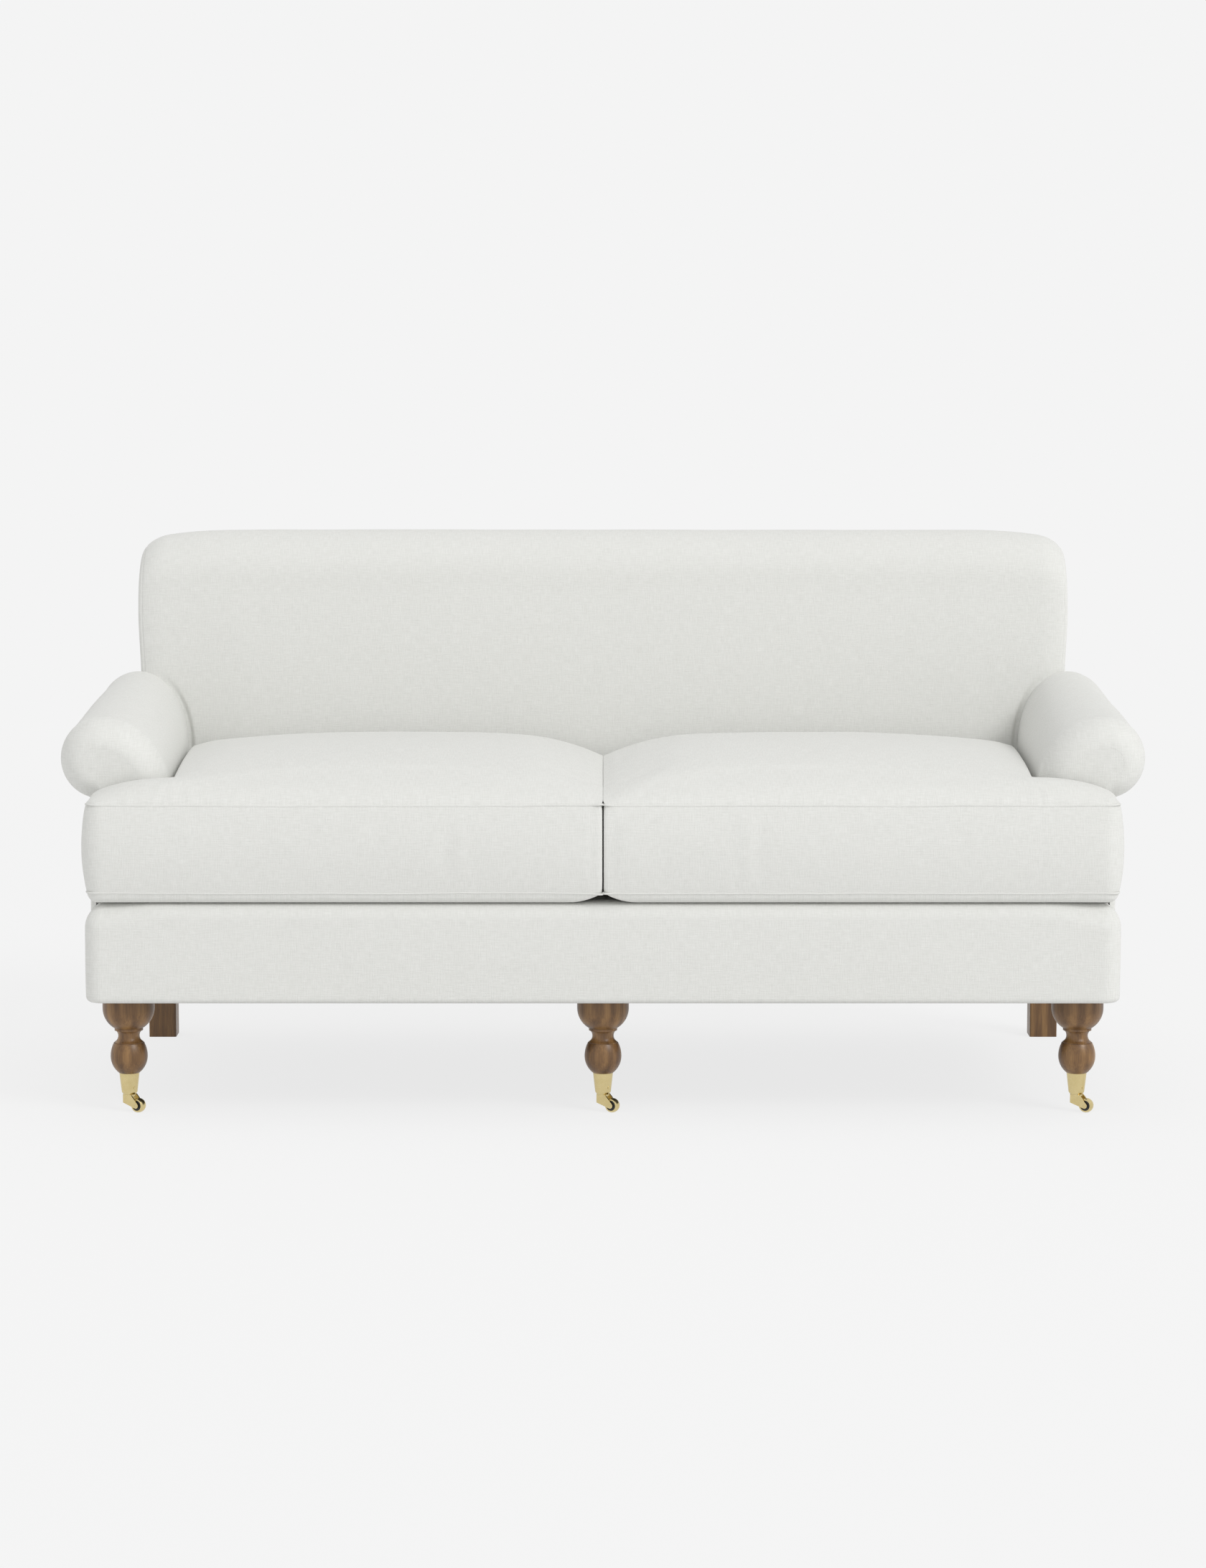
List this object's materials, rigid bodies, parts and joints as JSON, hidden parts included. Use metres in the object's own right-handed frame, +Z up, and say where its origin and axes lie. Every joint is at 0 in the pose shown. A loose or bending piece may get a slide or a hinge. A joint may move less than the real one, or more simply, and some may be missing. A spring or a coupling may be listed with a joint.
{
  "type": "roll-arm sofa",
  "caption": "Roll-arm sofa with a tight rounded back, loose T-shaped seat cushions, turned wooden front legs on brass cup casters and square rear legs.",
  "frame": {"origin": "on the floor, under the middle of the sofa's box", "axes": "+Z up, the front of the sofa at -Y, +X to the right as seen from the front"},
  "size_m": [1.809, 0.915, 0.9398],
  "materials": {
    "linen": "fine plain weave",
    "walnut": "satin lacquer",
    "brass": "satin",
    "black_plastic": "matt",
    "frame_wood": "sawn, unfinished",
    "zinc_steel": "zinc plated",
    "lining": "plain lining cloth",
    "foam": "open-cell foam core",
    "black_cambric": "spun cloth"
  },
  "bodies": {
    "frame": {"arm_pad_left": "linen", "arm_pad_right": "linen", "arm_post_left": "frame_wood", "arm_post_right": "frame_wood", "arm_rail_left": "frame_wood", "arm_rail_right": "frame_wood", "back_centre_upright": "frame_wood", "back_lower_rail": "frame_wood", "back_pad": "linen", "back_post_left": "frame_wood", "back_post_right": "frame_wood", "back_top_rail": "frame_wood", "back_webbing": "lining", "caster_cup_centre": "brass", "caster_cup_left": "brass", "caster_cup_right": "brass", "caster_screws": "brass", "centre_leg_block": "frame_wood", "corner_blocks": "frame_wood", "dust_cover": "black_cambric", "frame_dowels": "frame_wood", "front_border": "linen", "front_leg_centre": "walnut", "front_leg_left": "walnut", "front_leg_right": "walnut", "leg_bolts": "zinc_steel", "leg_inserts": "zinc_steel", "outside_arm_left": "linen", "outside_arm_right": "linen", "outside_back": "linen", "rear_leg_left": "walnut", "rear_leg_right": "walnut", "seat_back_rail": "frame_wood", "seat_centre_rail": "frame_wood", "seat_deck": "lining", "seat_front_rail": "frame_wood", "seat_side_rail_left": "frame_wood", "seat_side_rail_right": "frame_wood", "seat_springs_left": "zinc_steel", "seat_springs_right": "zinc_steel", "spring_clips": "zinc_steel"},
    "cushion_left": {"seat_cushion_left": "linen", "seat_foam_left": "foam"},
    "cushion_right": {"seat_cushion_right": "linen", "seat_foam_right": "foam"},
    "caster_left": {"caster_fork_left": "brass", "caster_axle_left": "brass"},
    "wheel_left": {"wheel_tread_left": "brass", "wheel_hub_left": "black_plastic"},
    "caster_centre": {"caster_fork_centre": "brass", "caster_axle_centre": "brass"},
    "wheel_centre": {"wheel_tread_centre": "brass", "wheel_hub_centre": "black_plastic"},
    "caster_right": {"caster_fork_right": "brass", "caster_axle_right": "brass"},
    "wheel_right": {"wheel_tread_right": "brass", "wheel_hub_right": "black_plastic"}
  },
  "joints": [
    {"name": "swivel_left", "type": "hinge", "parent": "frame", "child": "caster_left", "pos_m": [-0.788, -0.3735, 0.0297], "axis": [0, 0, 1], "continuous": true},
    {"name": "wheel_spin_left", "type": "hinge", "parent": "caster_left", "child": "wheel_left", "pos_m": [-0.77241, -0.3825, 0.012], "axis": [0.5, 0.866, 0], "continuous": true},
    {"name": "swivel_centre", "type": "hinge", "parent": "frame", "child": "caster_centre", "pos_m": [0, -0.3735, 0.0297], "axis": [0, 0, 1], "continuous": true},
    {"name": "wheel_spin_centre", "type": "hinge", "parent": "caster_centre", "child": "wheel_centre", "pos_m": [0.01559, -0.3825, 0.012], "axis": [0.5, 0.866, 0], "continuous": true},
    {"name": "swivel_right", "type": "hinge", "parent": "frame", "child": "caster_right", "pos_m": [0.788, -0.3735, 0.0297], "axis": [0, 0, 1], "continuous": true},
    {"name": "wheel_spin_right", "type": "hinge", "parent": "caster_right", "child": "wheel_right", "pos_m": [0.80359, -0.3825, 0.012], "axis": [0.5, 0.866, 0], "continuous": true},
    {"name": "cushion_lift_left", "type": "slide", "parent": "frame", "child": "cushion_left", "axis": [0, 0, 1], "range_m": [0, 0.3]},
    {"name": "cushion_lift_right", "type": "slide", "parent": "frame", "child": "cushion_right", "axis": [0, 0, 1], "range_m": [0, 0.3]}
  ]
}
